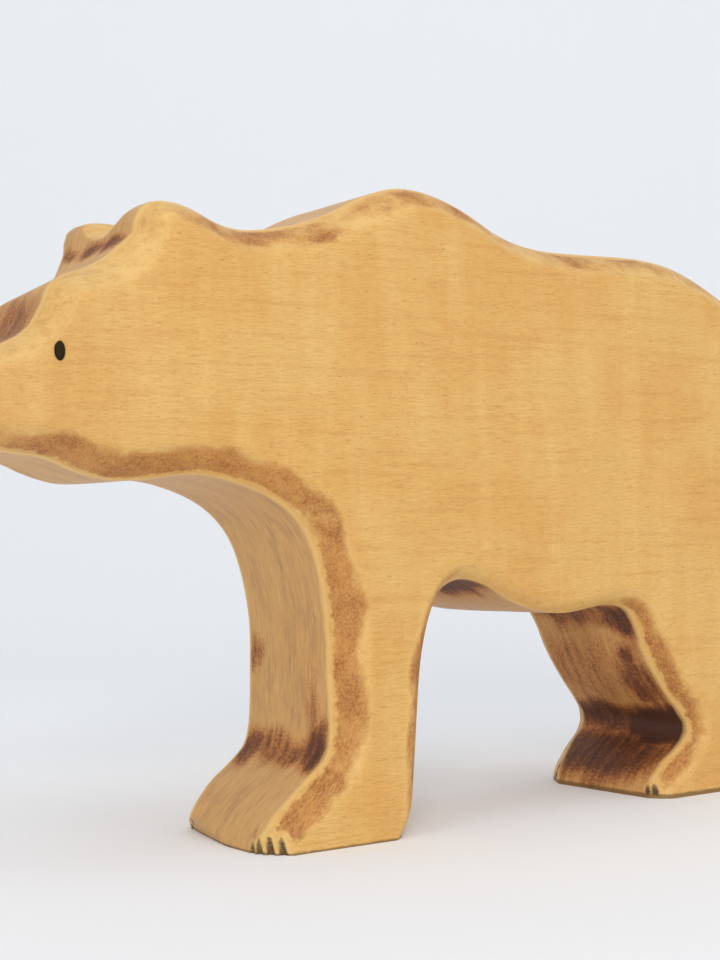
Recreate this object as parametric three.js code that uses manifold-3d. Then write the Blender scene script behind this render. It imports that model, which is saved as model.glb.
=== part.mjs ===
// Carved wooden bear, walking on four feet.
//
// The body is one block of hardwood: a thick board sawn to the outline of a bear, chamfered by
// hand along both edges of its flanks, and sawn flat under the feet. A drilled eye socket in each
// side of the head holds a small dark peg.
//
// Frame: X runs along the bear with the nose toward -X, Y runs across the board, Z is up. The
// bear's left flank is at -Y and its right flank at +Y. The origin is on the floor under the
// middle of the bear. All lengths are in millimetres.

import * as THREE from 'three';
import Module from 'manifold-3d';
import { mergeVertices } from 'three/addons/utils/BufferGeometryUtils.js';

// ---------------------------------------------------------------- driving dimensions

const HALF_LENGTH = 78.3;    // from the middle to the nose, and to the tail
const THICKNESS = 32;        // board thickness, across the two flanks
const OUTLINE_STEP = 1.7;    // spacing of the points along the carved outline
const BELOW_FLOOR = 8;       // extra leg length, sawn off at the floor
const SAW_MARGIN = 12;       // how far a cutting block reaches past the wood

// How deep a chamfer starts in the board for each millimetre that it runs in over the flank. It is
// steeper on the head, and it changes over between the two x given here.
const BODY_CHAMFER_RATIO = 1.4;
const HEAD_CHAMFER_RATIO = 2.3;
const CHAMFER_CHANGE_X = [-46, -54];

// A chamfer is slightly crowned. Each pair is a share of its run over the flank and of its depth.
const CHAMFER_PROFILE = [[0, 1], [0.5, 0.42], [1.1, 0]];

// The toes are worn rounder on the right side of the bear.
const TOES = [[-30.8, 0], [42, 0]];
const TOE_WEAR = 2.8;
const TOE_WEAR_REACH = 9.5;

// The front sole's right corner is worn off along the plane through these three points.
const WORN_CORNER = [[-29.9, 8, 3.2], [-28.1, 8, 0], [-30.8, -4, 0]];

// Seen from above, the head narrows from the neck to the nose: [x, share of the thickness].
const TAPER = [[-38, 1], [-54, 0.93], [-HALF_LENGTH, 0.72]];
const HEAD_MIDDLE_Z = 70;

// The forehead falls this much toward the right side for each millimetre across the bear. The fall
// begins at the ears, and is complete a little way in front of them.
const FOREHEAD_FALL = 0.075;
const FOREHEAD_FALL_LEAD = 2.4;
const FOREHEAD_FALL_START_Y = -8;
const FOREHEAD_FALL_Z = [62, 74];

// The carved groove that parts the two ears. Its section is from the middle out: [y, height].
const EAR_FRONT_X = -47.2;
const EAR_BACK_X = -28;
const GROOVE_LEAD = 2;         // how far in front of the ears the cut begins
const GROOVE_FRONT_Z = 85.9;
const GROOVE_RISE = 0.1;
const GROOVE_HALF_SECTION = [[3.6, 0.9], [6.5, 2.7], [9.5, 3.7], [THICKNESS / 2 + 1, 4.6]];

// Eyes: upright ovals, each with a peg that stands slightly proud of the wood.
const EYE_X = -59.7;
const EYE_Z = 68.7;
const EYE_WIDTH = 1.3;
const EYE_HEIGHT = 2.55;
const SOCKET_DEPTH = 3.2;
const PEG_CLEARANCE = 0.25;
const PEG_PROUD = 0.15;
const EYE_SIDES = 20;

// Claws: short gouges around the corners of each foot, leaning toward its middle. Places are shares
// of the way from the front of the toe to the flank, for the left side and the right.
const CLAW_LENGTH = 2.8;
const CLAW_WIDTH = 1.2;
const CLAW_TIP_WIDTH = 0.6;
const CLAW_SIDES = 10;
const CLAW_LEAN = 0.3;
const FRONT_CLAWS = {
  toe: 0, chamfer: 3.0, foot: -0.3, left: [-0.25, 0.1, 0.45, 0.8], right: [0.4, 0.6, 0.8, 1],
};
const REAR_CLAWS = { toe: 1, chamfer: 2.2, foot: 1.1, left: [-0.1, 0.3], right: [0.3, 0.7] };

const WOOD = { color: 0xdcae6a, roughness: 0.55, metalness: 0 };
const DARK_PEG = { color: 0x1b140e, roughness: 0.5, metalness: 0 };

// ---------------------------------------------------------------- outline
//
// Each point is [x, z, chamfer], where chamfer is how far the chamfer runs in from the edge.

// From the front toe up the leg, the chest and the throat to the nose, and back to the ears.
const FRONT_OUTLINE = [
  [-30.6, -BELOW_FLOOR, 0.5], [-30.8, 0, 3.0], [-30.2, 2.0, 3.0], [-28.4, 4.2, 3.1], [-25.3, 6.9, 3.3],
  [-21.3, 9.9, 3.4], [-18.8, 12.2, 3.4], [-17.9, 14.9, 3.4], [-17.6, 24.3, 3.7], [-17.6, 31.0, 3.8],
  [-18.6, 37.3, 3.6], [-20.9, 44.0, 3.4], [-24.7, 48.1, 3.3], [-31.6, 51.3, 3.4], [-38.5, 52.6, 3.8],
  [-45.3, 52.1, 4.2], [-50.8, 52.1, 3.6], [-55.6, 53.4, 3.2], [-59.2, 55.0, 3.1], [-65.5, 55.9, 2.9],
  [-70.8, 56.4, 2.7], [-74.9, 57.7, 2.5], [-77.4, 60.1, 2.4], [-HALF_LENGTH, 63.2, 2.4], [-77.3, 66.3, 2.4],
  [-74.4, 67.9, 2.5], [-70.0, 68.7, 2.6], [-65.2, 70.0, 2.6], [-62.0, 72.0, 2.5], [-60.3, 74.6, 2.4],
  [-58.8, 78.0, 2.6], [-55.6, 79.8, 3.0], [-52.6, 80.9, 3.4], [-50.1, 82.4, 3.6], [EAR_FRONT_X, 85.4, 3.0],
];

// From the foot of the ears over the ears, the hump and the rump to the rear heel.
const BACK_OUTLINE = [
  [EAR_FRONT_X, 85.4, 3.0], [-46.9, 87.6, 2.9], [-45.8, 89.2, 2.8], [-43.4, 89.9, 2.9], [-39.7, 89.5, 3.2],
  [-34.0, 87.5, 3.6], [-30.5, 87.0, 3.7], [-23.0, 88.0, 3.7], [-17.0, 89.8, 3.7], [-8.5, 93.6, 3.6],
  [-3.0, 95.0, 3.6], [3.0, 94.5, 3.6], [8.2, 92.9, 3.6], [15.8, 89.3, 3.6], [23.0, 87.6, 3.6],
  [33.0, 87.4, 3.6], [43.0, 87.5, 3.6], [51.0, 86.7, 3.6], [58.7, 84.2, 3.8], [65.8, 80.6, 4.0],
  [71.2, 75.6, 4.0], [74.4, 70.2, 3.2], [77.1, 67.6, 2.6], [HALF_LENGTH, 64.6, 2.4], [77.3, 61.4, 2.6],
  [75.4, 57.8, 3.4], [75.5, 50.0, 4.0], [74.4, 40.0, 4.0], [71.4, 29.0, 4.0], [68.6, 19.5, 4.0],
  [67.4, 12.0, 3.8], [67.2, 5.0, 3.4], [66.6, 0, 3.0], [66.2, -BELOW_FLOOR, 0.5],
];

// From the rear toe up the rear leg, along the belly and down to the front heel.
const ARCH_OUTLINE = [
  [42.0, -BELOW_FLOOR, 0.5], [42.0, 0, 2.2], [42.9, 2.6, 2.4], [45.9, 5.3, 2.6], [50.2, 8.4, 2.5],
  [51.3, 10.4, 2.4], [50.0, 12.8, 2.5], [46.2, 17.6, 2.7], [43.2, 22.2, 2.7], [41.0, 27.0, 2.6],
  [38.6, 30.4, 2.4], [34.6, 31.5, 2.0], [24.0, 30.6, 1.8], [15.8, 32.3, 1.8], [9.0, 35.8, 1.9],
  [5.2, 36.7, 2.2], [2.0, 35.6, 2.5], [0, 32.4, 2.8], [-1.8, 26.0, 3.1], [-2.8, 17.0, 3.2],
  [-3.7, 9.0, 3.1], [-4.8, 3.2, 2.8], [-6.2, 0.8, 2.5], [-7.6, -1.2, 2.4], [-8.4, -BELOW_FLOOR, 0.5],
];

// ---------------------------------------------------------------- solids for joining and cutting

const wasm = await Module();
wasm.setup();

function toSolid(geometry) {
  const bare = geometry.clone();
  bare.deleteAttribute('normal');
  bare.deleteAttribute('uv');
  const merged = mergeVertices(bare, 1e-5);
  return new wasm.Manifold(new wasm.Mesh({
    numProp: 3,
    vertProperties: Float32Array.from(merged.attributes.position.array),
    triVerts: Uint32Array.from(merged.index.array),
  }));
}

function toGeometry(solid) {
  const mesh = solid.getMesh();
  const geometry = new THREE.BufferGeometry();
  geometry.setAttribute('position', new THREE.BufferAttribute(mesh.vertProperties, 3));
  geometry.setIndex(new THREE.BufferAttribute(mesh.triVerts, 1));
  geometry.computeVertexNormals();
  return geometry;
}

// ---------------------------------------------------------------- body

// Returns points along a smooth curve through the listed ones. A point's y holds its chamfer.
function smoothRun(points) {
  const stops = points.map(([x, z, chamfer]) => new THREE.Vector3(x, chamfer, z));
  const curve = new THREE.CatmullRomCurve3(stops);
  return curve.getSpacedPoints(Math.round(curve.getLength() / OUTLINE_STEP));
}

// The closed outline, running clockwise when it is seen from the bear's left side. The ear's foot
// belongs to two runs, and is kept once.
function bodyOutline() {
  return [...smoothRun(FRONT_OUTLINE), ...smoothRun(BACK_OUTLINE).slice(1), ...smoothRun(ARCH_OUTLINE)];
}

// The direction into the wood at one point of the outline, in the plane of the flank.
function inward(outline, i) {
  const toSide = (from, to) => new THREE.Vector2(to.z - from.z, from.x - to.x).normalize();
  const before = toSide(outline.at(i - 1), outline[i]);
  const after = toSide(outline[i], outline[(i + 1) % outline.length]);
  return before.add(after).normalize();
}

// How far the chamfer runs in at one point of the outline, on the left side (-1) or the right (1).
function chamferRun(point, side) {
  if (side < 0) return point.y;
  const fromToe = Math.min(...TOES.map(([x, z]) => Math.hypot(point.x - x, point.z - z)));
  return point.y + TOE_WEAR * Math.max(0, 1 - fromToe / TOE_WEAR_REACH);
}

function chamferRatio(x) {
  const ratio = THREE.MathUtils.mapLinear(x, ...CHAMFER_CHANGE_X, BODY_CHAMFER_RATIO, HEAD_CHAMFER_RATIO);
  return THREE.MathUtils.clamp(ratio, BODY_CHAMFER_RATIO, HEAD_CHAMFER_RATIO);
}

// How much lower the top of the head is at y, in front of the ears.
function foreheadFall(point, y) {
  const pastEars = THREE.MathUtils.clamp((EAR_FRONT_X - point.x) / FOREHEAD_FALL_LEAD, 0, 1);
  const onTop = THREE.MathUtils.smoothstep(point.z, ...FOREHEAD_FALL_Z);
  return pastEars * onTop * FOREHEAD_FALL * Math.max(0, y - FOREHEAD_FALL_START_Y);
}

// The rings of points that the skin is stretched over, from the left flank to the right flank.
function bodyRings(outline) {
  const ring = (side, [runShare, depthShare]) => outline.map((point, i) => {
    const chamfer = chamferRun(point, side);
    const depth = chamfer * chamferRatio(point.x) * depthShare;
    const into = inward(outline, i);
    const x = point.x + into.x * chamfer * runShare;
    const y = side * (THICKNESS / 2 - depth);
    const z = point.z + into.y * chamfer * runShare;
    return new THREE.Vector3(x, y, z - foreheadFall(point, y));
  });
  const near = CHAMFER_PROFILE.map((share) => ring(-1, share)).reverse();
  const far = CHAMFER_PROFILE.map((share) => ring(1, share));
  return [...near, ...far];
}

// How wide the head is at x, as a share of the board's thickness.
function widthShare(x) {
  const end = TAPER.findIndex(([station]) => x > station);
  if (end === 0) return 1;
  const [[fromX, fromShare], [toX, toShare]] = end < 0 ? TAPER.slice(-2) : TAPER.slice(end - 1, end + 1);
  return THREE.MathUtils.mapLinear(x, fromX, toX, fromShare, toShare);
}

// A flank is flat from one station of the taper to the next, so it is filled in part by part.
function flankTriangles(ring) {
  const closest = (x, isOnTop) => ring.reduce((best, point, i) => {
    const isCloser = Math.abs(point.x - x) < Math.abs((ring[best]?.x ?? Infinity) - x);
    return (point.z > HEAD_MIDDLE_Z) === isOnTop && isCloser ? i : best;
  }, -1);
  const parts = [];
  let rest = ring.map((_, i) => i);
  for (const [x] of TAPER.slice(0, -1)) {
    const under = closest(x, false);
    const top = closest(x, true);
    parts.push(rest.filter((i) => i <= under || i >= top));
    rest = rest.filter((i) => i >= under && i <= top);
  }
  parts.push(rest);
  return parts.flatMap((part) => {
    const border = part.map((i) => new THREE.Vector2(ring[i].x, ring[i].z));
    return THREE.ShapeUtils.triangulateShape(border, []).map((corners) => corners.map((k) => part[k]));
  });
}

// The board sawn to outline, with its chamfers and the narrowed head, and with legs too long.
function carvedBlank() {
  const outline = bodyOutline();
  const rings = bodyRings(outline);
  const count = outline.length;
  const index = [];
  for (let r = 0; r < rings.length - 1; r += 1) {
    for (let i = 0; i < count; i += 1) {
      const a = r * count + i;
      const b = r * count + ((i + 1) % count);
      index.push(a, b, a + count, b, b + count, a + count);
    }
  }
  const lastRing = (rings.length - 1) * count;
  for (const [a, b, c] of flankTriangles(rings[0])) {
    index.push(a, b, c, lastRing + a, lastRing + c, lastRing + b);
  }
  const points = rings.flat();
  for (const point of points) {
    point.y *= widthShare(point.x);
  }
  const skin = new THREE.BufferGeometry().setFromPoints(points);
  skin.setIndex(index);
  return toSolid(skin);
}

// Everything below the floor, so that the feet end in flat soles.
function floorBlock() {
  const size = 2 * HALF_LENGTH + 2 * SAW_MARGIN;
  const block = new THREE.BoxGeometry(size, THICKNESS + 2 * SAW_MARGIN, 2 * BELOW_FLOOR);
  return toSolid(block.translate(0, 0, -BELOW_FLOOR));
}

// What is worn off the corner of the front sole.
function wornCorner() {
  const [onToe, onSole, middle] = WORN_CORNER.map((point) => new THREE.Vector3(...point));
  const { normal } = new THREE.Plane().setFromCoplanarPoints(onToe, onSole, middle);
  const turn = new THREE.Quaternion().setFromUnitVectors(new THREE.Vector3(0, 0, 1), normal);
  const block = new THREE.BoxGeometry(THICKNESS, THICKNESS, THICKNESS).translate(0, 0, THICKNESS / 2);
  return toSolid(block.applyQuaternion(turn).translate(onToe.x, onToe.y, onToe.z));
}

// A rounded V groove along the bear, which leaves an ear on each side of it.
function earGroove() {
  const [half, top] = GROOVE_HALF_SECTION.at(-1);
  const right = GROOVE_HALF_SECTION.map(([y, z]) => new THREE.Vector2(y, z));
  const left = right.slice(0, -1).map(({ x, y }) => new THREE.Vector2(-x, y)).reverse();
  const section = new THREE.Shape();
  section.moveTo(-half, SAW_MARGIN);
  section.lineTo(-half, top);
  section.splineThru([...left, new THREE.Vector2(), ...right]);
  section.lineTo(half, SAW_MARGIN);
  const startX = EAR_FRONT_X - GROOVE_LEAD;
  const length = EAR_BACK_X + SAW_MARGIN - startX;
  const options = { depth: length, bevelEnabled: false, curveSegments: 3 };
  const groove = new THREE.ExtrudeGeometry(section, options);
  const alongX = new THREE.Matrix4().makeBasis(
    new THREE.Vector3(0, 1, 0), new THREE.Vector3(0, 0, 1), new THREE.Vector3(1, 0, 0));
  groove.applyMatrix4(alongX).rotateY(-GROOVE_RISE);
  return toSolid(groove.translate(startX, 0, GROOVE_FRONT_Z));
}

// ---------------------------------------------------------------- eyes

// The flank's distance from the middle plane, and the angle that the narrowing head turns it by.
const EYE_Y = (THICKNESS / 2) * widthShare(EYE_X);
const EYE_TURN = Math.atan((THICKNESS / 2) * (widthShare(EYE_X + 1) - widthShare(EYE_X - 1)) / 2);

// An upright oval rod with its middle at the middle of the eye on the flank. Side is -1 or 1.
function ovalRod(width, height, inside, outside, side) {
  const rod = new THREE.CylinderGeometry(1, 1, inside + outside, EYE_SIDES);
  rod.translate(0, (outside - inside) / 2, 0).scale(width / 2, 1, height / 2);
  if (side < 0) rod.rotateZ(Math.PI);
  return rod.rotateZ(side * EYE_TURN).translate(EYE_X, side * EYE_Y, EYE_Z);
}

function eyeSocket(side) {
  return toSolid(ovalRod(EYE_WIDTH, EYE_HEIGHT, SOCKET_DEPTH, SAW_MARGIN / 2, side));
}

function eyePeg(side) {
  const clearance = 2 * PEG_CLEARANCE;
  const inside = SOCKET_DEPTH - PEG_CLEARANCE;
  return ovalRod(EYE_WIDTH - clearance, EYE_HEIGHT - clearance, inside, PEG_PROUD, side);
}

// ---------------------------------------------------------------- claws

// The gouges at one corner of a foot.
function clawGouges({ toe, chamfer, foot, left, right }, side) {
  const [toeX, toeZ] = TOES[toe];
  const run = chamferRun(new THREE.Vector3(toeX, chamfer, toeZ), side);
  const front = new THREE.Vector3(toeX, side * (THICKNESS / 2 - run * BODY_CHAMFER_RATIO), foot);
  const flank = new THREE.Vector3(toeX + run, side * (THICKNESS / 2), foot);
  return (side < 0 ? left : right).map((share) => {
    const place = front.clone().lerp(flank, share);
    const gouge = new THREE.CylinderGeometry(CLAW_TIP_WIDTH / 2, CLAW_WIDTH / 2, CLAW_LENGTH, CLAW_SIDES);
    gouge.translate(0, CLAW_LENGTH / 2, 0).rotateX(Math.PI / 2 + side * CLAW_LEAN);
    return toSolid(gouge.translate(Math.max(place.x, toeX), place.y, foot));
  });
}

// ---------------------------------------------------------------- assembly

function addPiece(group, name, geometry, finish) {
  const mesh = new THREE.Mesh(geometry, new THREE.MeshStandardMaterial(finish));
  mesh.name = name;
  group.add(mesh);
}

function buildBody() {
  let body = carvedBlank().subtract(floorBlock()).subtract(wornCorner()).subtract(earGroove());
  for (const side of [-1, 1]) {
    const cuts = [eyeSocket(side), ...clawGouges(FRONT_CLAWS, side), ...clawGouges(REAR_CLAWS, side)];
    for (const cut of cuts) {
      body = body.subtract(cut);
    }
  }
  return toGeometry(body);
}

const bear = new THREE.Group();
addPiece(bear, 'bear_body', buildBody(), WOOD);
addPiece(bear, 'eye_left', eyePeg(-1), DARK_PEG);
addPiece(bear, 'eye_right', eyePeg(1), DARK_PEG);

export default bear;
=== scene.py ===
# Looks for the carved wooden bear: hand-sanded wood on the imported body, two dark eye pegs, a pale
# floor, soft light and the camera. Everything is in metres, in the part's own frame: X runs from
# the nose to the tail, the bear's left flank is at -Y, and Z is up. Sizes named _MM are in
# millimetres, because the wood's detail is easier to read in them.

import math

import bmesh
import bpy
import numpy as np
from mathutils import Matrix, Vector, noise
from mathutils.bvhtree import BVHTree
from mathutils.kdtree import KDTree


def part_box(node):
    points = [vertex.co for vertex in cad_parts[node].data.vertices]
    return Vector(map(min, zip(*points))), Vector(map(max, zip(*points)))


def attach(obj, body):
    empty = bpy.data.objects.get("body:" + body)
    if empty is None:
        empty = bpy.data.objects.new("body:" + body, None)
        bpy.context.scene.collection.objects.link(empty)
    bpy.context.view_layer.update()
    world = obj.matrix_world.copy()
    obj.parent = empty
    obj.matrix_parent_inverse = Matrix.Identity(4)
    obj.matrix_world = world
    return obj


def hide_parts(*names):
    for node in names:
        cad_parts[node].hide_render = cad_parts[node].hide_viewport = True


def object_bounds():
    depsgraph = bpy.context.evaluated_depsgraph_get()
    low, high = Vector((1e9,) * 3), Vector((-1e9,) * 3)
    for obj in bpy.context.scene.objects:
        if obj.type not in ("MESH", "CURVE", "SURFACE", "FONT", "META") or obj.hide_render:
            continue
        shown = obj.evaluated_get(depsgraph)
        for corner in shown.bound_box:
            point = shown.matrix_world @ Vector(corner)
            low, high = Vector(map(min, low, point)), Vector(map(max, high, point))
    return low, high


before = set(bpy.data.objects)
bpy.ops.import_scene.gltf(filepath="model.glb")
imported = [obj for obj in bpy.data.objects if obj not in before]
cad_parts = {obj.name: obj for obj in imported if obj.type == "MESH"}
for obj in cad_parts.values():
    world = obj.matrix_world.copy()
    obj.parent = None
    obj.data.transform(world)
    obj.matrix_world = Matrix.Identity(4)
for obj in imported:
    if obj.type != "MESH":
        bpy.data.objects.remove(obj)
cad_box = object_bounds()

MM = 0.001

# ---------------------------------------------------------------- sizes

VOXEL_MM = 0.32
BODY_TRIANGLES = 190_000
SMOOTHING_ROUNDS = 14
SMOOTHING_STEP = 0.5         # share of the way to its neighbours that a point moves in each round
RIDGE_ROUNDING_MM = 1.6      # within this distance the ridge keeps most of its crispness
RIDGE_SMOOTHING = 0.22       # share of the full smoothing that is left on the ridge
CLAW_CRISP_MM = 2.0          # the smoothing fades in over the last millimetre of this distance
EYE_CRISP_MM = 3.6
BODY_SHARP_ANGLE = 48        # degrees over which an edge is shaded sharp
SOLE_MM = 0.25               # what is this close to the floor is pressed flat onto it
SANDING_MM = 0.13            # height of the slow unevenness that hand sanding leaves
SANDING_WAVE_MM = 11
MARK_WANDER_MM = 1.8         # how far noise bends the outlines of the marks
MARK_WANDER_WAVE_MM = 4.5
MARK_WANDER_SEED = 5         # never 0, which would bend them differently each run
MARK_FADE = 1.5              # a mark has faded out at this many times its reach

# Faces are told apart by the size of the Y part of their direction. It is under BAND_TURN on the
# narrow faces, over CHAMFER_TURN on the chamfers and over FLANK_TURN on the flanks.
BAND_TURN = 0.2
CHAMFER_TURN = 0.3
FLANK_TURN = 0.9
RIDGE_LEAST_Y_MM = 7.5       # an edge nearer the middle than this isn't a chamfer's
EDGE_STEP_MM = 0.25
FAR_MM = 12                  # distances are cut off here

# Eyes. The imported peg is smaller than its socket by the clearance, and the shown peg nearly fills it.
PEG_CLEARANCE_MM = 0.25
EYE_GAP_MM = 0.03
EYE_ROUNDNESS = 0.51         # width as a share of height
EYE_DEPTH_MM = 1.2           # from the foot of the dome into the wood
EYE_DOME_MM = 0.22
EYE_SUNK_MM = 0.15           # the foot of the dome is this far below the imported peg's face
EYE_RINGS = 7
EYE_SIDES = 48
EYE_SHARP_ANGLE = 50

# Widths of the lines in the wood's looks. Each pair is where a line begins and where it is full.
SINGE_START_MM = (0.75, 1.5)     # from the ridge
SINGE_END_MM = (-0.2, -2.0)      # from the chamfer's inner edge, into the chamfer
RIDGE_LIGHT_LINE_MM = (0.85, 0.15)     # from the ridge, each way; the pale line is partly worn wood and partly painted highlight
SOLE_SHADOW_LINE_MM = (0.5, 0.12)       # above the floor: painted contact shadow along each sole, together with the soles' own dark edge
REAR_SOLE_SHADOW_LINE_MM = 0.4          # how much higher that line is on the rear feet
REAR_SOLE_X_MM = (10, 40)
HEAD_SHADE_X_MM = (-32, -66)           # painted shade: the head is darker from the neck to the nose, where its side turns a little from the light

# ---------------------------------------------------------------- marks on the wood
#
# Brown singed runs along the chamfers: the middle in X and Z, the reach each way and the strength.
SINGED_RUNS = [
    ((-48, 52), (36, 9), 1.0),     # throat
    ((-14, 26), (9, 26), 1.0),     # front of the front leg
    ((-24, 6), (8, 7), 1.0),       # front foot
    ((-1, 18), (6, 20), 1.0),      # back of the front leg
    ((22, 34), (20, 5), 0.2),      # belly
    ((46, 14), (12, 21), 1.0),     # front of the rear leg
    ((-28, 87), (16, 5), 0.62),    # nape
    ((1, 92), (18, 6), 0.55),      # hump
    ((44, 86), (32, 7), 0.5),      # back
    ((-43, 87), (4, 5), 0.2),      # ears
    ((72, 38), (8, 44), 0.7),      # back of the rear leg and the rump
]
SINGE_TURN = 50                    # degrees that the strokes in the singed runs lean by

# Behind the front leg the singeing spills past the chamfer onto the flank: the middle, the reach
# each way and the millimetres.
SINGE_SPILL = ((-4, 14), (5, 20), 2.2)

# The groove between the ears isn't singed.
GROOVE_HALF_MM = 10
GROOVE_FLOOR_MM = 84

# Dark marks across the narrow faces: the middle in X, Y and Z, the reach each way and the strength.
DARK_MARKS = [
    ((-18.6, -9, 12.8), (4, 5, 3.4), 1.3),         # instep, left
    ((-18.8, 1, 12.4), (4, 13, 2.6), 0.9),         # instep, right across
    ((-19.3, 8.4, 11.8), (4, 3, 2.3), 1.15),       # instep, right
    ((-17.6, 9, 26), (3, 1.8, 3.2), 0.95),         # knot in the front leg
    ((-17.8, -6.5, 19), (3, 2.2, 7), 0.6),         # streaks over the instep
    ((-28.2, -10.6, 4.4), (2.0, 0.45, 2.8), 1.2),  # slit in the front toes
    ((-28, 9, 5), (3, 3, 2.5), 0.35),              # right front toes
    ((40.5, -9.5, 29.5), (5, 4, 4.5), 1.4),        # top corner of the rear leg, left
    ((39.5, 3, 30), (6, 11, 4), 1.0),              # top of the rear leg
    ((42.8, -8.5, 23), (3, 2.5, 2.6), 1.15),       # spot on the rear leg
    ((46, -8, 18), (6, 5, 7), 1.1),                # front of the rear leg, left
    ((45, 4, 19), (9, 14, 9), 0.72),               # front of the rear leg, all across
    ((50.5, -7, 10.4), (5, 8, 3.8), 2.4),          # instep of the rear leg, left
    ((50.5, 5, 11.4), (5, 12, 3.4), 1.35),         # instep of the rear leg, right
    ((42.6, 9, 2.4), (2.5, 3, 2.5), 0.9),          # right rear toes
    ((46, 3, 5.6), (8, 18, 5.0), 1.35),            # top of the rear foot
    ((9, -3, 35.8), (6, 15, 3), 1.25),             # top of the arch
    ((-47.2, 0, 84.4), (1.8, 15, 1.6), 1.05),      # foot of the ears
    ((-62.5, 0, 73), (6.5, 12, 5.5), 0.92),        # stop of the muzzle
]

# Rows of claw gouges round the corners of the feet: where the row starts at the front of the toes
# and ends on the flank in X and Y, the shares of the way where its claws are, and their foot and
# top heights.
CLAW_ROWS = [
    ((-30.8, -11.8), (-27.8, -16), (-0.25, 0.1, 0.45, 0.8), (-0.3, 2.2)),
    ((-30.8, 7.9), (-25.0, 16), (0.4, 0.6, 0.8, 1.0), (-0.3, 2.2)),
    ((42.0, -12.9), (44.2, -16), (-0.1, 0.3), (1.1, 3.6)),
    ((42.0, 9.0), (47.0, 16), (0.3, 0.7), (1.1, 3.6)),
]
CLAW_LEAN = 0.31                # millimetres toward the foot's middle for each millimetre of height
CLAW_REACH_MM = 0.65
CLAW_EDGE_MM = (0.25, -0.2)     # the black begins and is full this far past the reach
CLAW_TAPER_MM = 0.3             # how much less the gouges reach at their tops

# ---------------------------------------------------------------- colours, as linear light

WOOD = (0.745, 0.455, 0.142)
WOOD_WARM = (0.730, 0.400, 0.116)
WOOD_LIGHT = (0.88, 0.60, 0.220)
FIBRE = (0.56, 0.255, 0.060)
WOOD_END = (0.64, 0.350, 0.118)
SANDING_MARK = (0.40, 0.210, 0.085)
PORE = (0.34, 0.120, 0.038)
# painted shade on the side of the head
HEAD_SHADE = (0.66, 0.350, 0.105)
# painted contact shadow along the soles, with their dark edge
SOLE_EDGE_AND_SHADOW = (0.16, 0.085, 0.028)
SINGED_PALE = (0.55, 0.210, 0.047)
SINGED = (0.24, 0.060, 0.017)
BURNT = (0.060, 0.022, 0.013)
CLAW_BLACK = (0.058, 0.026, 0.013)
EYE_BLACK = (0.022, 0.012, 0.004)
EYE_FLECK = (0.050, 0.036, 0.012)
PAPER = (0.95, 0.96, 0.975)

# ---------------------------------------------------------------- camera and light

# The angles are in degrees, and the lens and the sensor in millimetres.
CAMERA_PLACE = Vector((-0.1581, -0.22468, 0.04551))
CAMERA_YAW = 34.5
CAMERA_PITCH = 1.37
CAMERA_ROLL = -1.5
CAMERA_LENS = 66.86
SENSOR_WIDTH = 36
NEAR_CLIP = 0.01

# Each light: its place, its width and its power. All are aimed at the middle of the bear.
LIGHTS = {
    "front": ((-0.66, -0.90, 0.45), 0.30, 4.1),
    "top": ((-0.30, -0.35, 1.05), 1.2, 3.7),
    "side": ((0.50, -0.98, 0.40), 0.55, 1.3),
}
WORLD_COLOUR = (0.93, 0.96, 1.0)
WORLD_STRENGTH = 0.55

# The sweep: where it leaves the floor, the radius that it curves up by, and the floor's reach.
SWEEP_START = 0.30
SWEEP_RADIUS = 0.45
SWEEP_STEPS = 24
FLOOR_REACH = 1.6


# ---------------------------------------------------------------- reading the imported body


def welded(node):
    """The CAD node's mesh with its shared corners joined."""
    surface = bmesh.new()
    surface.from_mesh(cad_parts[node].data)
    bmesh.ops.remove_doubles(surface, verts=surface.verts, dist=1e-6)
    surface.normal_update()
    return surface


def edge_points(surface, is_wanted):
    """Points along the edges where is_wanted accepts the turns of the two faces, smaller first."""
    points = []
    for edge in surface.edges:
        if len(edge.link_faces) != 2:
            continue
        first, second = (vert.co for vert in edge.verts)
        on_floor = first.z < SOLE_MM * MM and second.z < SOLE_MM * MM
        near_middle = min(abs(first.y), abs(second.y)) < RIDGE_LEAST_Y_MM * MM
        turns = sorted(abs(face.normal.y) for face in edge.link_faces)
        if on_floor or near_middle or not is_wanted(*turns):
            continue
        steps = max(1, round((second - first).length / (EDGE_STEP_MM * MM)))
        points += [first.lerp(second, i / steps) for i in range(steps + 1)]
    return points


def distances(places, points):
    """How far each place is from the nearest of the points, in millimetres, up to FAR_MM."""
    tree = KDTree(len(points))
    for i, point in enumerate(points):
        tree.insert(point, i)
    tree.balance()
    found = [tree.find(place)[2] for place in places]
    return np.minimum(np.array(found) / MM, FAR_MM)


def chamfer_distances(places):
    """Millimetres from the ridge and from the chamfer's inner edge, both positive toward the flank."""
    surface = welded("bear_body")
    ridge = edge_points(surface, lambda low, high: low < BAND_TURN and CHAMFER_TURN < high < FLANK_TURN)
    inner = edge_points(surface, lambda low, high: CHAMFER_TURN < low < FLANK_TURN < high)
    tree = BVHTree.FromBMesh(surface)
    turns = np.array([abs(tree.find_nearest(place)[1].y) for place in places])
    surface.free()
    from_ridge = distances(places, ridge) * np.where(turns < BAND_TURN, -1, 1)
    past_chamfer = distances(places, inner) * np.where(turns > FLANK_TURN, 1, -1)
    return from_ridge, past_chamfer


# ---------------------------------------------------------------- making meshes


def new_object(name, mesh):
    """An object in the scene that holds the mesh, lamp or camera."""
    made = bpy.data.objects.new(name, mesh)
    bpy.context.scene.collection.objects.link(made)
    return made


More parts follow.
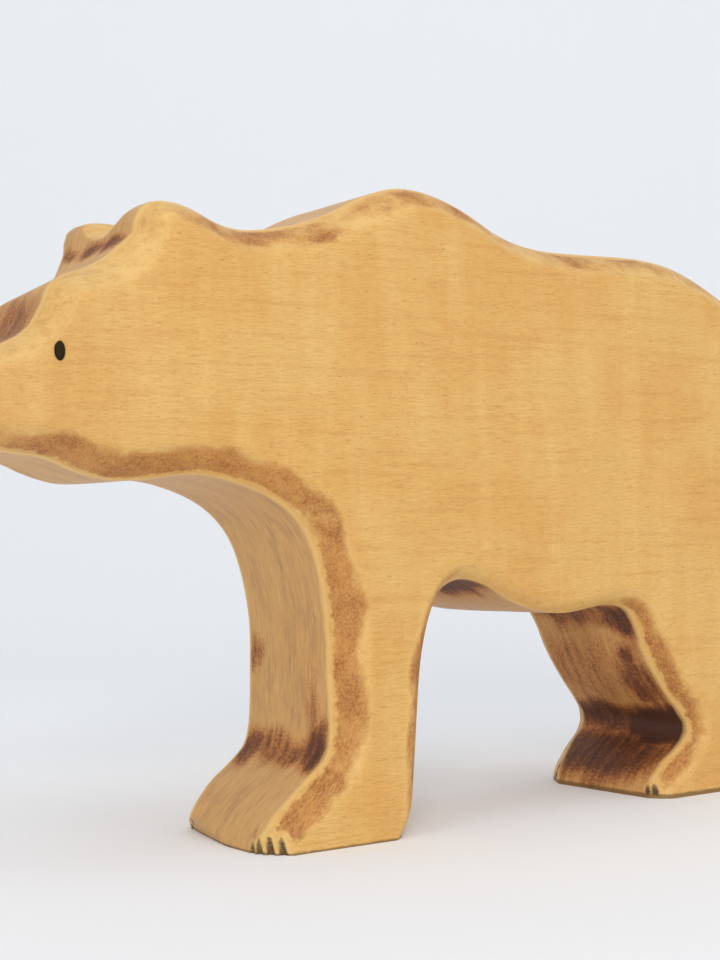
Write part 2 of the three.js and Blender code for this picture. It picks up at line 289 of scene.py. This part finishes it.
def apply_modifier(obj, kind, **settings):
    """Adds one modifier, and keeps its result as the object's mesh."""
    modifier = obj.modifiers.new(kind, kind)
    for name, value in settings.items():
        setattr(modifier, name, value)
    graph = bpy.context.evaluated_depsgraph_get()
    mesh = bpy.data.meshes.new_from_object(obj.evaluated_get(graph))
    obj.modifiers.clear()
    obj.data = mesh


def corners(mesh):
    """The places of the mesh's points, one to a row."""
    flat = np.empty(len(mesh.vertices) * 3, np.float32)
    mesh.vertices.foreach_get("co", flat)
    return flat.reshape(-1, 3).astype(float)


def set_corners(mesh, places):
    mesh.vertices.foreach_set("co", places.astype(np.float32).ravel())
    mesh.update()


def set_attribute(mesh, name, values):
    """Stores one number for each point, which a material can read by name."""
    attribute = mesh.attributes.new(name, "FLOAT", "POINT")
    attribute.data.foreach_set("value", values.astype(np.float32))


def smoothed(mesh, places, share):
    """The places after each has moved its share of the way to its neighbours, several times."""
    ends = np.empty(len(mesh.edges) * 2, np.int32)
    mesh.edges.foreach_get("vertices", ends)
    a, b = ends.reshape(-1, 2).T
    count = np.bincount(a, minlength=len(places)) + np.bincount(b, minlength=len(places))
    for _ in range(SMOOTHING_ROUNDS):
        middle = np.empty_like(places)
        for axis in range(3):
            total = np.bincount(a, places[b, axis], len(places))
            total += np.bincount(b, places[a, axis], len(places))
            middle[:, axis] = total / count
        places = places + (middle - places) * share[:, None]
    return places


def sanding(places):
    """The slow unevenness of a surface sanded by hand, from -1 to 1."""
    scale = 1 / (SANDING_WAVE_MM * MM)
    return np.array([noise.noise(Vector(place) * scale) for place in places])


def make_body():
    """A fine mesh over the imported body, with softened chamfers, crisp claws and flat soles."""
    body = new_object("carved_bear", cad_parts["bear_body"].data.copy())
    body.data.materials.clear()
    apply_modifier(body, "REMESH", mode="VOXEL", voxel_size=VOXEL_MM * MM)
    mesh = body.data
    places = corners(mesh)
    from_ridge, _ = chamfer_distances(places)
    eased = np.clip(np.abs(from_ridge) / RIDGE_ROUNDING_MM, 0, 1)
    soft = 1 - crisp_share(places)
    share = SMOOTHING_STEP * (RIDGE_SMOOTHING + (1 - RIDGE_SMOOTHING) * eased)
    share *= soft
    share[places[:, 2] < 2 * SOLE_MM * MM] = 0
    normals = np.empty(len(places) * 3, np.float32)
    mesh.vertices.foreach_get("normal", normals)
    rise = sanding(places) * SANDING_MM * MM * soft
    places = smoothed(mesh, places, share) + normals.reshape(-1, 3) * rise[:, None]
    low = places[:, 2] < SOLE_MM * MM
    places[low, 2] = 0
    set_corners(mesh, places)
    mesh.calc_loop_triangles()
    count = len(mesh.loop_triangles)
    if count > BODY_TRIANGLES:
        apply_modifier(body, "DECIMATE", ratio=BODY_TRIANGLES / count)
    paint_masks(body.data)
    body.data.shade_smooth()
    body.data.set_sharp_from_angle(angle=math.radians(BODY_SHARP_ANGLE))
    return body


# ---------------------------------------------------------------- masks


def wandering(places_mm):
    """The places moved about by slow noise, so that marks measured from them aren't regular."""
    noise.seed_set(MARK_WANDER_SEED)
    moves = [noise.noise_vector(Vector(place) / MARK_WANDER_WAVE_MM) for place in places_mm]
    return places_mm + MARK_WANDER_MM * np.array(moves)


def nearness(places_mm, middle, reach):
    """1 in the middle of a mark, falling to 0 over its outer part."""
    offset = (places_mm - np.array(middle)) / np.array(reach)
    distance = np.sqrt((offset**2).sum(1))
    return np.clip(MARK_FADE - distance, 0, 1)


def strongest(places_mm, marks):
    """The strength of the strongest of the marks at each place."""
    return np.maximum.reduce([
        nearness(places_mm, middle, reach) * strength for middle, reach, strength in marks
    ])


def claw_distance(places_mm):
    """How far each place is from the nearest claw gouge, in millimetres."""
    nearest = np.full(len(places_mm), float(FAR_MM))
    for start, end, shares, (foot, top) in CLAW_ROWS:
        height = places_mm[:, 2] - foot
        taper = CLAW_TAPER_MM * np.clip(height / (top - foot), 0, 1)
        beyond = np.maximum(np.maximum(places_mm[:, 2] - top, foot - places_mm[:, 2]), 0)
        lean = -math.copysign(CLAW_LEAN, start[1]) * height
        for share in shares:
            middle = np.array(start) + share * (np.array(end) - np.array(start))
            across = places_mm[:, 0] - max(middle[0], start[0])
            along = places_mm[:, 1] - middle[1] - lean
            nearest = np.minimum(nearest, np.hypot(np.hypot(across, along), beyond) + taper)
    return nearest


def crisp_share(places):
    """1 at the claws and the eye sockets, which keep their shape, and 0 elsewhere."""
    claws = np.clip(CLAW_CRISP_MM - claw_distance(places / MM), 0, 1)
    eyes = np.zeros(len(places))
    for node in ("eye_left", "eye_right"):
        low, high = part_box(node)
        away = np.linalg.norm(places - np.array((low + high) / 2), axis=1) / MM
        eyes = np.maximum(eyes, np.clip(EYE_CRISP_MM - away, 0, 1))
    return np.maximum(claws, eyes)


def paint_masks(mesh):
    """Stores what the wood's looks depend on at each point of the mesh."""
    places = corners(mesh)
    places_mm = places / MM
    from_ridge, past_chamfer = chamfer_distances(places)
    wandered = wandering(places_mm)
    middle, reach, spill_mm = SINGE_SPILL
    past_chamfer -= spill_mm * nearness(places_mm[:, [0, 2]], middle, reach)
    singed = strongest(wandered[:, [0, 2]], SINGED_RUNS)
    in_groove = (np.abs(places_mm[:, 1]) < GROOVE_HALF_MM) & (places_mm[:, 2] > GROOVE_FLOOR_MM)
    singed[in_groove] = 0
    set_attribute(mesh, "from_ridge", from_ridge)
    set_attribute(mesh, "past_chamfer", past_chamfer)
    set_attribute(mesh, "singed", singed)
    set_attribute(mesh, "dark", strongest(wandered, DARK_MARKS))
    set_attribute(mesh, "claw", claw_distance(places_mm))


# ---------------------------------------------------------------- eyes


def outward(node, side):
    """The middle of an eye's outer face and the direction that it faces."""
    surface = welded(node)
    caps = [face for face in surface.faces if face.normal.y * side > FLANK_TURN]
    area = sum(face.calc_area() for face in caps)
    middle = sum((face.calc_center_median() * face.calc_area() for face in caps), Vector()) / area
    direction = caps[0].normal.copy()
    surface.free()
    return middle, direction


def eye_profile():
    """The peg's rings from its inner end to just under its tip: each one's spread and its height."""
    rings = [(1.0, -EYE_DEPTH_MM * MM)]
    for ring in range(EYE_RINGS):
        angle = math.pi / 2 * ring / EYE_RINGS
        rings.append((math.cos(angle), math.sin(angle) * EYE_DOME_MM * MM))
    return rings


def make_eye(node, side):
    """An upright oval peg that fills its socket and ends in a low dome."""
    middle, direction = outward(node, side)
    low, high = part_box(node)
    half_height = (high.z - low.z) / 2 + (PEG_CLEARANCE_MM - EYE_GAP_MM) * MM
    half_width = half_height * EYE_ROUNDNESS
    along = Vector((0, 0, 1)).cross(direction).normalized()
    peg = bmesh.new()
    loops = []
    for spread, rise in eye_profile():
        loop = []
        for k in range(EYE_SIDES):
            turn = 2 * math.pi * k / EYE_SIDES
            offset = along * (math.cos(turn) * half_width * spread)
            offset += Vector((0, 0, math.sin(turn) * half_height * spread))
            loop.append(peg.verts.new(middle + offset + direction * (rise - EYE_SUNK_MM * MM)))
        loops.append(loop)
    tip = peg.verts.new(middle + direction * (EYE_DOME_MM - EYE_SUNK_MM) * MM)
    for lower, upper in zip(loops, loops[1:]):
        for k in range(EYE_SIDES):
            after = (k + 1) % EYE_SIDES
            peg.faces.new((lower[k], lower[after], upper[after], upper[k]))
    for k in range(EYE_SIDES):
        peg.faces.new((loops[-1][k], loops[-1][(k + 1) % EYE_SIDES], tip))
    peg.faces.new(reversed(loops[0]))
    bmesh.ops.recalc_face_normals(peg, faces=peg.faces)
    mesh = bpy.data.meshes.new(node)
    peg.to_mesh(mesh)
    peg.free()
    mesh.shade_smooth()
    mesh.set_sharp_from_angle(angle=math.radians(EYE_SHARP_ANGLE))
    return new_object(node.replace("eye", "peg_eye"), mesh)


# ---------------------------------------------------------------- materials
#
# Noise is given as waves for each millimetre along each axis, and falls mostly between 0.3 and 0.7.
# The two numbers of a soft step say which part of it shows.


class Graph:
    """A material's nodes, with a short name for each kind of step."""

    def __init__(self, name, **shader_values):
        self.material = bpy.data.materials.new(name)
        self.material.use_nodes = True
        self.tree = self.material.node_tree
        self.shader = self.tree.nodes["Principled BSDF"]
        for socket, value in shader_values.items():
            self.shader.inputs[socket.replace("_", " ")].default_value = value

    def add(self, kind, inputs=(), **settings):
        """A new node. Each input is a socket to link from or a plain value."""
        node = self.tree.nodes.new(kind)
        for name, value in settings.items():
            setattr(node, name, value)
        for socket, value in dict(inputs).items():
            if isinstance(value, bpy.types.NodeSocket):
                self.tree.links.new(value, node.inputs[socket])
            else:
                node.inputs[socket].default_value = value
        return node

    def place(self, stretch, turn=0.0):
        """Object coordinates in millimetres, turned about Y, times the stretch along each axis."""
        coordinates = self.add("ShaderNodeTexCoord").outputs["Object"]
        if turn:
            inputs = {"Vector": coordinates, "Angle": math.radians(turn)}
            coordinates = self.add("ShaderNodeVectorRotate", inputs, rotation_type="Y_AXIS").outputs[0]
        inputs = {0: coordinates, 1: [value / MM for value in stretch]}
        return self.add("ShaderNodeVectorMath", inputs, operation="MULTIPLY").outputs[0]

    def along(self, axis):
        """The object coordinate along one axis, in millimetres."""
        return self.add("ShaderNodeSeparateXYZ", {0: self.place((1, 1, 1))}).outputs[axis]

    def attribute(self, name):
        return self.add("ShaderNodeAttribute", attribute_name=name).outputs["Fac"]

    def noise(self, stretch, detail=2.0, roughness=0.5, turn=0.0):
        """Noise with the given number of waves to the millimetre along X, Y and Z."""
        vector = self.place(stretch, turn)
        inputs = {"Vector": vector, "Scale": 1.0, "Detail": detail, "Roughness": roughness}
        return self.add("ShaderNodeTexNoise", inputs).outputs["Fac"]

    def math(self, operation, a, b=0.0):
        return self.add("ShaderNodeMath", {0: a, 1: b}, operation=operation).outputs[0]

    def times(self, a, b):
        return self.math("MULTIPLY", a, b)

    def plus(self, a, b):
        return self.math("ADD", a, b)

    def between(self, value, low, high):
        """0 at low, 1 at high, and a soft step from one to the other. Low may be the larger."""
        inputs = {"Value": value, "From Min": low, "From Max": high}
        return self.add("ShaderNodeMapRange", inputs, interpolation_type="SMOOTHSTEP").outputs[0]

    def around(self, value, amount, source):
        """The value moved up and down by the noise."""
        return self.plus(value, self.times(self.math("SUBTRACT", source, 0.5), amount))

    def mix(self, share, below, above):
        """The lower colour where the share is 0, and the upper colour where it is 1."""
        node = self.add("ShaderNodeMix", {"Factor": share}, data_type="RGBA")
        for socket, value in ((node.inputs[6], below), (node.inputs[7], above)):
            if isinstance(value, bpy.types.NodeSocket):
                self.tree.links.new(value, socket)
            else:
                socket.default_value = (*value, 1)
        return node.outputs[2]

    def tinted(self, colour, tint, share, most):
        """The colour with the tint over it, at most as strong as given and only where the share is."""
        return self.mix(self.times(share, most), colour, tint)

    def finish(self, colour, roughness, height, strength, distance_mm):
        """Links the looks to the shader, with the height as bump, and returns the material."""
        link = self.tree.links.new
        link(colour, self.shader.inputs["Base Color"])
        link(roughness, self.shader.inputs["Roughness"])
        inputs = {"Height": height, "Strength": strength, "Distance": distance_mm * MM}
        link(self.add("ShaderNodeBump", inputs).outputs[0], self.shader.inputs["Normal"])
        return self.material


def bare_wood(graph):
    """Pale, close-grained wood with its fibres along the bear, and painted shade on the head. Returns
    its colour, pores and fibres.
    """
    fibres = graph.noise((0.45, 4.0, 7.0), detail=4, roughness=0.7)
    streaks = graph.noise((0.05, 0.7, 0.9), detail=3, roughness=0.6)
    ripple = graph.noise((0.22, 0.05, 0.030), detail=4, roughness=0.6)
    clouds = graph.noise((0.05, 0.05, 0.07), detail=3, roughness=0.6)
    pores = graph.between(graph.noise((1.3, 7.0, 8.5), detail=1), 0.62, 0.74)
    ticks = graph.between(graph.noise((0.55, 3.6, 5.2), detail=1), 0.72, 0.78)
    colour = graph.mix(graph.between(clouds, 0.40, 0.60), WOOD, WOOD_WARM)
    # painted shade: darker from the neck to the nose
    colour = graph.tinted(colour, HEAD_SHADE, graph.between(graph.along("X"), *HEAD_SHADE_X_MM), 0.6)
    colour = graph.tinted(colour, WOOD_LIGHT, graph.between(ripple, 0.42, 0.68), 0.26)
    colour = graph.tinted(colour, FIBRE, graph.between(streaks, 0.48, 0.72), 0.28)
    colour = graph.tinted(colour, FIBRE, graph.between(fibres, 0.40, 0.70), 0.50)
    colour = graph.tinted(colour, PORE, pores, 0.34)
    colour = graph.tinted(colour, PORE, ticks, 0.45)
    return colour, graph.math("MAXIMUM", pores, ticks), fibres


def end_grain(graph, colour):
    """Faces across the fibres are duller, with faint upright sanding marks."""
    facing = graph.add("ShaderNodeNewGeometry").outputs["Normal"]
    turn = graph.add("ShaderNodeSeparateXYZ", {0: facing})
    across = graph.between(graph.math("ABSOLUTE", turn.outputs["Y"]), 0.45, 0.1)
    ends = graph.times(across, graph.between(turn.outputs["Z"], 0.98, 0.85))
    marks = graph.noise((0.30, 2.2, 0.26), detail=4, roughness=0.65)
    blotches = graph.noise((0.10, 0.28, 0.12), detail=4, roughness=0.65)
    stained = graph.times(graph.between(blotches, 0.48, 0.68), ends)
    streaked = graph.times(graph.between(marks, 0.48, 0.72), ends)
    bright = graph.times(graph.between(marks, 0.46, 0.28), ends)
    colour = graph.tinted(colour, WOOD_END, ends, 0.75)
    colour = graph.tinted(colour, SANDING_MARK, stained, 0.45)
    colour = graph.tinted(colour, SANDING_MARK, streaked, 0.5)
    return graph.tinted(colour, WOOD_LIGHT, bright, 0.35)


def sanded_chamfer(graph, colour):
    """Chamfers that aren't singed are a little paler than the flank."""
    mottle = graph.noise((0.5, 0.5, 0.8), detail=4, roughness=0.7)
    start = graph.between(graph.attribute("from_ridge"), 0.2, 1.2)
    end = graph.between(graph.around(graph.attribute("past_chamfer"), 2.0, mottle), 0.6, -1.2)
    share = graph.times(graph.times(start, end), graph.between(mottle, 0.3, 0.6))
    return graph.tinted(colour, WOOD_LIGHT, share, 0.42)


def singe(graph, colour):
    """The brown run along each chamfer, ragged at its edges. Returns the colour and its share."""
    ragged = graph.noise((0.5, 0.5, 0.5), detail=5, roughness=0.75)
    waver = graph.noise((0.13, 0.13, 0.13), detail=2, roughness=0.5)
    strokes = graph.noise((1.0, 3.0, 4.6), detail=4, roughness=0.8, turn=SINGE_TURN)
    patches = graph.noise((0.16, 0.16, 0.16), detail=3, roughness=0.6)
    start = graph.around(graph.attribute("from_ridge"), 2.2, ragged)
    end = graph.around(graph.around(graph.attribute("past_chamfer"), 3.0, ragged), 5.0, waver)
    within = graph.times(graph.between(start, *SINGE_START_MM), graph.between(end, *SINGE_END_MM))
    strength = graph.between(graph.around(graph.attribute("singed"), 1.3, patches), 0.15, 0.85)
    share = graph.times(within, strength)
    dense = graph.around(graph.around(strokes, 0.5, patches), 0.4, ragged)
    stroked = graph.times(graph.between(dense, 0.34, 0.76), share)
    colour = graph.tinted(colour, SINGED_PALE, share, 0.62)
    return graph.tinted(colour, SINGED, stroked, 0.80), share


def burn(graph, colour):
    """Dark marks on the narrow faces, streaked along them and stippled where they fade out. Returns
    the colour and the share of the palest brown."""
    stipple = graph.noise((2.4, 1.6, 2.4), detail=4, roughness=0.8)
    streaks = graph.noise((0.16, 0.8, 0.14), detail=3, roughness=0.6)
    on_band = graph.between(graph.attribute("from_ridge"), 0.7, -0.3)
    dark = graph.times(graph.attribute("dark"), on_band)
    speckled = graph.around(dark, 1.5, stipple)
    brown = graph.between(graph.around(dark, 0.7, stipple), 0.10, 0.95)
    specks = graph.between(graph.around(speckled, 1.3, streaks), 0.30, 1.20)
    specks = graph.times(specks, graph.between(dark, 0.02, 0.3))
    black = graph.between(graph.around(speckled, 1.1, streaks), 0.68, 1.60)
    colour = graph.tinted(colour, SINGED_PALE, brown, 0.62)
    colour = graph.tinted(colour, SINGED, specks, 0.80)
    return graph.tinted(colour, BURNT, black, 0.92), brown


def worn_and_lit_ridge(graph, colour):
    """A pale line along the ridge: partly where handling has taken the singeing off, partly a painted
    highlight where the rounded edge catches the light.
    """
    waver = graph.noise((0.4, 0.4, 0.4), detail=2)
    distance = graph.math("ABSOLUTE", graph.around(graph.attribute("from_ridge"), 0.5, waver))
    return graph.tinted(colour, WOOD_LIGHT, graph.between(distance, *RIDGE_LIGHT_LINE_MM), 0.55)


def sole_edge_and_shadow(graph, colour):
    """A thin dark line round each sole, higher on the rear feet: painted contact shadow together with
    the soles' own dark edge.
    """
    waver = graph.noise((0.5, 0.5, 0.5), detail=3)
    lift = graph.times(graph.between(graph.along("X"), *REAR_SOLE_X_MM), REAR_SOLE_SHADOW_LINE_MM)
    height = graph.around(graph.math("SUBTRACT", graph.along("Z"), lift), 0.5, waver)
    return graph.tinted(colour, SOLE_EDGE_AND_SHADOW, graph.between(height, *SOLE_SHADOW_LINE_MM), 0.8)


def claw_marks(graph, colour):
    """Each claw gouge is burnt nearly black."""
    waver = graph.noise((2.2, 2.2, 2.2), detail=2)
    distance = graph.around(graph.attribute("claw"), 0.35, waver)
    begins, full = (CLAW_REACH_MM + past for past in CLAW_EDGE_MM)
    return graph.tinted(colour, CLAW_BLACK, graph.between(distance, begins, full), 0.92)


def wood_material():
    """The wood with its marks, its painted highlight and its painted shade, laid over one another in
    this order.
    """
    graph = Graph("oiled_carved_wood", Specular_IOR_Level=0.26)
    colour, pores, fibres = bare_wood(graph)
    colour = end_grain(graph, colour)
    colour = sanded_chamfer(graph, colour)
    colour, singed = singe(graph, colour)
    colour, burnt = burn(graph, colour)
    colour = worn_and_lit_ridge(graph, colour)
    colour = sole_edge_and_shadow(graph, colour)
    colour = claw_marks(graph, colour)
    dull = graph.times(graph.plus(singed, burnt), 0.14)
    roughness = graph.plus(graph.plus(graph.times(fibres, 0.16), 0.36), dull)
    height = graph.math("SUBTRACT", graph.times(fibres, 0.35), pores)
    return graph.finish(colour, roughness, height, strength=0.3, distance_mm=0.05)


def eye_material():
    """Nearly black wood with faint upright flecks."""
    graph = Graph("dark_eye_peg", Specular_IOR_Level=0.12)
    flecks = graph.noise((4.0, 4.0, 1.2), detail=3, roughness=0.7)
    colour = graph.mix(graph.between(flecks, 0.5, 0.8), EYE_BLACK, EYE_FLECK)
    roughness = graph.plus(graph.times(flecks, 0.3), 0.45)
    return graph.finish(colour, roughness, flecks, strength=0.35, distance_mm=0.04)


def floor_material():
    """Smooth pale paper."""
    graph = Graph("pale_paper", Specular_IOR_Level=0.1)
    fleck = graph.noise((0.05, 0.05, 0.05), detail=2)
    colour = graph.mix(fleck, PAPER, tuple(0.99 * value for value in PAPER))
    return graph.finish(colour, graph.plus(fleck, 0.4), fleck, strength=0.02, distance_mm=0.02)


# ---------------------------------------------------------------- stage, light and camera


def make_sweep():
    """A pale floor that curves up into a backdrop behind the bear, square to the camera."""
    profile = [(-FLOOR_REACH, 0.0), (SWEEP_START, 0.0)]
    for step in range(1, SWEEP_STEPS + 1):
        angle = math.pi / 2 * step / SWEEP_STEPS
        away = SWEEP_START + SWEEP_RADIUS * math.sin(angle)
        profile.append((away, SWEEP_RADIUS * (1 - math.cos(angle))))
    profile.append((SWEEP_START + SWEEP_RADIUS, 2 * FLOOR_REACH))
    sweep = bmesh.new()
    left, right = (
        [sweep.verts.new((x, away, up)) for away, up in profile] for x in (-FLOOR_REACH, FLOOR_REACH)
    )
    for i in range(len(profile) - 1):
        sweep.faces.new((left[i], right[i], right[i + 1], left[i + 1]))
    mesh = bpy.data.meshes.new("sweep")
    sweep.to_mesh(mesh)
    sweep.free()
    mesh.shade_smooth()
    made = new_object("sweep", mesh)
    made.rotation_euler = (0, 0, -math.radians(CAMERA_YAW))
    mesh.materials.append(floor_material())


def make_lights(target):
    """The lamps, aimed at the target, and an even light from all round."""
    for name, (place, width, power) in LIGHTS.items():
        light = bpy.data.lights.new(name, "AREA")
        light.size = width
        light.energy = power
        lamp = new_object(name, light)
        lamp.location = place
        lamp.rotation_euler = (target - Vector(place)).to_track_quat("-Z", "Y").to_euler()
    world = bpy.data.worlds.new("studio")
    world.use_nodes = True
    background = world.node_tree.nodes["Background"]
    background.inputs["Color"].default_value = (*WORLD_COLOUR, 1)
    background.inputs["Strength"].default_value = WORLD_STRENGTH
    bpy.context.scene.world = world


def make_camera():
    """The camera, near the bear's left front and about as high as the middle of the body."""
    yaw, pitch, roll = (math.radians(angle) for angle in (CAMERA_YAW, CAMERA_PITCH, CAMERA_ROLL))
    data = bpy.data.cameras.new("camera")
    data.lens = CAMERA_LENS
    data.sensor_width = SENSOR_WIDTH
    data.clip_start = NEAR_CLIP
    camera = new_object("camera", data)
    level = Matrix.Rotation(-yaw, 4, "Z") @ Matrix.Rotation(math.pi / 2 + pitch, 4, "X")
    camera.matrix_world = Matrix.Translation(CAMERA_PLACE) @ level @ Matrix.Rotation(roll, 4, "Z")
    bpy.context.scene.camera = camera


# ---------------------------------------------------------------- assembly


def keep(piece, node, material):
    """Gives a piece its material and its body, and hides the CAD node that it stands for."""
    piece.data.materials.append(material)
    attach(piece, "root")
    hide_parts(node)


keep(make_body(), "bear_body", wood_material())
eye_finish = eye_material()
for side, node in ((-1, "eye_left"), (1, "eye_right")):
    keep(make_eye(node, side), node, eye_finish)

make_camera()
make_sweep()
make_lights((cad_box[0] + cad_box[1]) / 2)
bpy.context.scene.view_settings.view_transform = "Standard"
